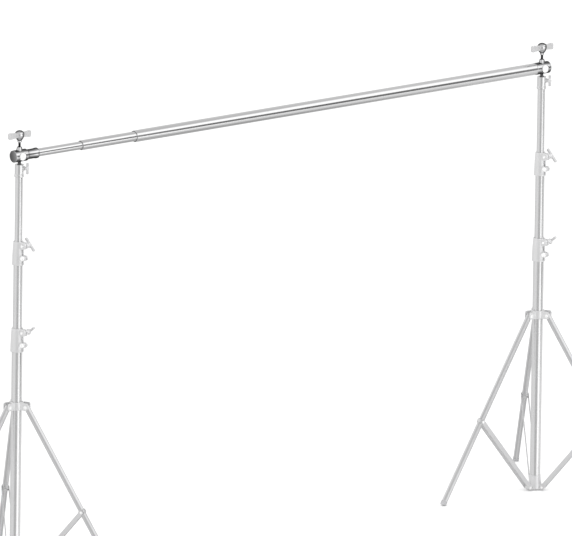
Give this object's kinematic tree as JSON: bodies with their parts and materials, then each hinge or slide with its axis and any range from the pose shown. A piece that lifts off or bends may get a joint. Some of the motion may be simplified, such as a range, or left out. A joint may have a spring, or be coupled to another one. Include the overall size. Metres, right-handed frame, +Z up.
{
  "type": "background support system",
  "caption": "Two folding tripod light stands joined at the top by a telescopic crossbar, for hanging a photographic background.",
  "frame": {"origin": "on the floor, at the middle of the whole object's box", "axes": "+X along the crossbar from its thin end to its thick end, +Z up, -Y towards the side that the clamp ears face"},
  "size_m": [2.7451, 0.6838, 1.49],
  "materials": {
    "satin_stainless": "satin polished, fine lengthways grain",
    "polished_stainless": "polished, with lengthways drawing lines",
    "cast_alloy": "die-cast, tumbled to a soft satin",
    "chrome_steel": "bright plated",
    "black_steel": "black oxide",
    "grey_rubber": "matte",
    "nylon": "moulded"
  },
  "bodies": {
    "left_column": {"left_column_tube": "satin_stainless", "left_base_hub": "cast_alloy", "left_lower_clamp": "cast_alloy", "left_lower_clamp_bolt": "chrome_steel"},
    "left_mid_riser": {"left_mid_riser_tube": "satin_stainless", "left_upper_clamp": "cast_alloy", "left_upper_clamp_bolt": "chrome_steel"},
    "left_top_riser": {"left_top_riser_tube": "satin_stainless", "left_spigot_socket": "cast_alloy", "left_spigot": "black_steel"},
    "left_leg_collar": {"left_leg_collar": "cast_alloy"},
    "left_leg_collar_knob": {"left_leg_collar_wing_knob": "cast_alloy"},
    "left_lower_clamp_knob": {"left_lower_clamp_wing_knob": "cast_alloy"},
    "left_upper_clamp_knob": {"left_upper_clamp_wing_knob": "cast_alloy"},
    "left_socket_knob": {"left_socket_wing_knob": "cast_alloy"},
    "left_leg_1": {"left_leg_1": "satin_stainless", "left_foot_1": "grey_rubber"},
    "left_brace_1": {"left_brace_1": "satin_stainless"},
    "left_leg_2": {"left_leg_2": "satin_stainless", "left_foot_2": "grey_rubber"},
    "left_brace_2": {"left_brace_2": "satin_stainless"},
    "left_leg_3": {"left_leg_3": "satin_stainless", "left_foot_3": "grey_rubber"},
    "left_brace_3": {"left_brace_3": "satin_stainless"},
    "crossbar_thin": {"crossbar_thin_tube": "polished_stainless", "crossbar_thin_twist_lock": "nylon", "crossbar_left_head": "chrome_steel", "crossbar_left_cross_barrel": "chrome_steel"},
    "crossbar_mid": {"crossbar_mid_tube": "polished_stainless", "crossbar_mid_twist_lock": "nylon"},
    "crossbar_thick": {"crossbar_thick_tube": "polished_stainless", "crossbar_right_head": "chrome_steel", "crossbar_right_cross_barrel": "chrome_steel"},
    "left_t_handle": {"crossbar_left_t_handle_bolt": "chrome_steel"},
    "right_t_handle": {"crossbar_right_t_handle_bolt": "chrome_steel"},
    "right_column": {"right_column_tube": "satin_stainless", "right_base_hub": "cast_alloy", "right_lower_clamp": "cast_alloy", "right_lower_clamp_bolt": "chrome_steel"},
    "right_mid_riser": {"right_mid_riser_tube": "satin_stainless", "right_upper_clamp": "cast_alloy", "right_upper_clamp_bolt": "chrome_steel"},
    "right_top_riser": {"right_top_riser_tube": "satin_stainless", "right_spigot_socket": "cast_alloy", "right_spigot": "black_steel"},
    "right_leg_collar": {"right_leg_collar": "cast_alloy"},
    "right_leg_collar_knob": {"right_leg_collar_wing_knob": "cast_alloy"},
    "right_lower_clamp_knob": {"right_lower_clamp_wing_knob": "cast_alloy"},
    "right_upper_clamp_knob": {"right_upper_clamp_wing_knob": "cast_alloy"},
    "right_socket_knob": {"right_socket_wing_knob": "cast_alloy"},
    "right_leg_1": {"right_leg_1": "satin_stainless", "right_foot_1": "grey_rubber"},
    "right_brace_1": {"right_brace_1": "satin_stainless"},
    "right_leg_2": {"right_leg_2": "satin_stainless", "right_foot_2": "grey_rubber"},
    "right_brace_2": {"right_brace_2": "satin_stainless"},
    "right_leg_3": {"right_leg_3": "satin_stainless", "right_foot_3": "grey_rubber"},
    "right_brace_3": {"right_brace_3": "satin_stainless"}
  },
  "joints": [
    {"name": "left_mid_riser_slide", "type": "slide", "parent": "left_column", "child": "left_mid_riser", "axis": [0, 0, 1], "range_m": [-0.2, 0.33]},
    {"name": "left_top_riser_slide", "type": "slide", "parent": "left_mid_riser", "child": "left_top_riser", "axis": [0, 0, 1], "range_m": [-0.2, 0.33]},
    {"name": "left_leg_collar_slide", "type": "slide", "parent": "left_column", "child": "left_leg_collar", "axis": [0, 0, 1], "range_m": [0, 0.1263]},
    {"name": "left_leg_collar_knob_turn", "type": "hinge", "parent": "left_leg_collar", "child": "left_leg_collar_knob", "pos_m": [-0.97925, 0, 0.58568], "axis": [1, 0, 0], "continuous": true},
    {"name": "left_leg_1_hinge", "type": "hinge", "parent": "left_leg_collar", "child": "left_leg_1", "pos_m": [-1.01425, 0, 0.58568], "axis": [0, -1, 0], "range_deg": [0, 31]},
    {"name": "left_brace_1_hinge", "type": "hinge", "parent": "left_column", "child": "left_brace_1", "pos_m": [-1.00726, 0, 0.011], "axis": [0, 1, 0], "range_deg": [0, 37.91]},
    {"name": "left_leg_2_hinge", "type": "hinge", "parent": "left_leg_collar", "child": "left_leg_2", "pos_m": [-0.96176, 0.03031, 0.58568], "axis": [-0.866, 0.5, 0], "range_deg": [0, 31]},
    {"name": "left_brace_2_hinge", "type": "hinge", "parent": "left_column", "child": "left_brace_2", "pos_m": [-0.96525, 0.02425, 0.011], "axis": [0.866, -0.5, 0], "range_deg": [0, 37.91]},
    {"name": "left_leg_3_hinge", "type": "hinge", "parent": "left_leg_collar", "child": "left_leg_3", "pos_m": [-0.96176, -0.03031, 0.58568], "axis": [0.866, 0.5, 0], "range_deg": [0, 31]},
    {"name": "left_brace_3_hinge", "type": "hinge", "parent": "left_column", "child": "left_brace_3", "pos_m": [-0.96525, -0.02425, 0.011], "axis": [-0.866, -0.5, 0], "range_deg": [0, 37.91]},
    {"name": "left_lower_clamp_knob_turn", "type": "hinge", "parent": "left_column", "child": "left_lower_clamp_knob", "pos_m": [-0.97448, -0.02708, 0.83], "axis": [0.9848, 0.1736, 0], "continuous": true},
    {"name": "left_upper_clamp_knob_turn", "type": "hinge", "parent": "left_mid_riser", "child": "left_upper_clamp_knob", "pos_m": [-0.97491, -0.02462, 1.115], "axis": [0.9848, 0.1736, 0], "continuous": true},
    {"name": "left_socket_knob_turn", "type": "hinge", "parent": "left_top_riser", "child": "left_socket_knob", "pos_m": [-0.97925, 0, 1.367], "axis": [0.5, -0.866, 0], "continuous": true},
    {"name": "left_head_swivel", "type": "hinge", "parent": "left_top_riser", "child": "crossbar_thin", "pos_m": [-0.97925, 0, 1.407], "axis": [0, 0, 1], "continuous": true},
    {"name": "left_t_handle_turn", "type": "hinge", "parent": "crossbar_thin", "child": "left_t_handle", "pos_m": [-0.97925, 0, 1.407], "axis": [0, 0, 1], "continuous": true},
    {"name": "crossbar_mid_slide", "type": "slide", "parent": "crossbar_thin", "child": "crossbar_mid", "axis": [1, 0, 0], "range_m": [-0.165, 0.95]},
    {"name": "crossbar_thick_slide", "type": "slide", "parent": "crossbar_mid", "child": "crossbar_thick", "axis": [1, 0, 0], "range_m": [-0.2, 0.95]},
    {"name": "right_t_handle_turn", "type": "hinge", "parent": "crossbar_thick", "child": "right_t_handle", "pos_m": [1.17074, 0, 1.407], "axis": [0, 0, 1], "continuous": true},
    {"name": "right_head_swivel", "type": "hinge", "parent": "crossbar_thick", "child": "right_top_riser", "pos_m": [1.17074, 0, 1.407], "axis": [0, 0, 1], "continuous": true},
    {"name": "right_top_riser_slide", "type": "slide", "parent": "right_top_riser", "child": "right_mid_riser", "axis": [0, 0, -1], "range_m": [-0.2, 0.33]},
    {"name": "right_mid_riser_slide", "type": "slide", "parent": "right_mid_riser", "child": "right_column", "axis": [0, 0, -1], "range_m": [-0.2, 0.33]},
    {"name": "right_leg_collar_slide", "type": "slide", "parent": "right_column", "child": "right_leg_collar", "axis": [0, 0, 1], "range_m": [0, 0.1263]},
    {"name": "right_leg_collar_knob_turn", "type": "hinge", "parent": "right_leg_collar", "child": "right_leg_collar_knob", "pos_m": [1.17074, 0, 0.58568], "axis": [1, 0, 0], "continuous": true},
    {"name": "right_leg_1_hinge", "type": "hinge", "parent": "right_leg_collar", "child": "right_leg_1", "pos_m": [1.13575, 0, 0.58568], "axis": [0, -1, 0], "range_deg": [0, 31]},
    {"name": "right_brace_1_hinge", "type": "hinge", "parent": "right_column", "child": "right_brace_1", "pos_m": [1.14274, 0, 0.011], "axis": [0, 1, 0], "range_deg": [0, 37.91]},
    {"name": "right_leg_2_hinge", "type": "hinge", "parent": "right_leg_collar", "child": "right_leg_2", "pos_m": [1.18824, 0.03031, 0.58568], "axis": [-0.866, 0.5, 0], "range_deg": [0, 31]},
    {"name": "right_brace_2_hinge", "type": "hinge", "parent": "right_column", "child": "right_brace_2", "pos_m": [1.18474, 0.02425, 0.011], "axis": [0.866, -0.5, 0], "range_deg": [0, 37.91]},
    {"name": "right_leg_3_hinge", "type": "hinge", "parent": "right_leg_collar", "child": "right_leg_3", "pos_m": [1.18824, -0.03031, 0.58568], "axis": [0.866, 0.5, 0], "range_deg": [0, 31]},
    {"name": "right_brace_3_hinge", "type": "hinge", "parent": "right_column", "child": "right_brace_3", "pos_m": [1.18474, -0.02425, 0.011], "axis": [-0.866, -0.5, 0], "range_deg": [0, 37.91]},
    {"name": "right_lower_clamp_knob_turn", "type": "hinge", "parent": "right_column", "child": "right_lower_clamp_knob", "pos_m": [1.17552, -0.02708, 0.83], "axis": [0.9848, 0.1736, 0], "continuous": true},
    {"name": "right_upper_clamp_knob_turn", "type": "hinge", "parent": "right_mid_riser", "child": "right_upper_clamp_knob", "pos_m": [1.17509, -0.02462, 1.115], "axis": [0.9848, 0.1736, 0], "continuous": true},
    {"name": "right_socket_knob_turn", "type": "hinge", "parent": "right_top_riser", "child": "right_socket_knob", "pos_m": [1.17074, 0, 1.367], "axis": [0.5, -0.866, 0], "continuous": true}
  ],
  "couplings": [
    {"joint": "left_leg_1_hinge", "follows": "left_leg_collar_slide", "rad_per_m": 4.2839},
    {"joint": "left_brace_1_hinge", "follows": "left_leg_collar_slide", "rad_per_m": 5.2381},
    {"joint": "left_leg_2_hinge", "follows": "left_leg_collar_slide", "rad_per_m": 4.2839},
    {"joint": "left_brace_2_hinge", "follows": "left_leg_collar_slide", "rad_per_m": 5.2381},
    {"joint": "left_leg_3_hinge", "follows": "left_leg_collar_slide", "rad_per_m": 4.2839},
    {"joint": "left_brace_3_hinge", "follows": "left_leg_collar_slide", "rad_per_m": 5.2381},
    {"joint": "right_top_riser_slide", "follows": "left_top_riser_slide", "ratio": 1},
    {"joint": "right_mid_riser_slide", "follows": "left_mid_riser_slide", "ratio": 1},
    {"joint": "right_leg_1_hinge", "follows": "right_leg_collar_slide", "rad_per_m": 4.2839},
    {"joint": "right_brace_1_hinge", "follows": "right_leg_collar_slide", "rad_per_m": 5.2381},
    {"joint": "right_leg_2_hinge", "follows": "right_leg_collar_slide", "rad_per_m": 4.2839},
    {"joint": "right_brace_2_hinge", "follows": "right_leg_collar_slide", "rad_per_m": 5.2381},
    {"joint": "right_leg_3_hinge", "follows": "right_leg_collar_slide", "rad_per_m": 4.2839},
    {"joint": "right_brace_3_hinge", "follows": "right_leg_collar_slide", "rad_per_m": 5.2381}
  ]
}
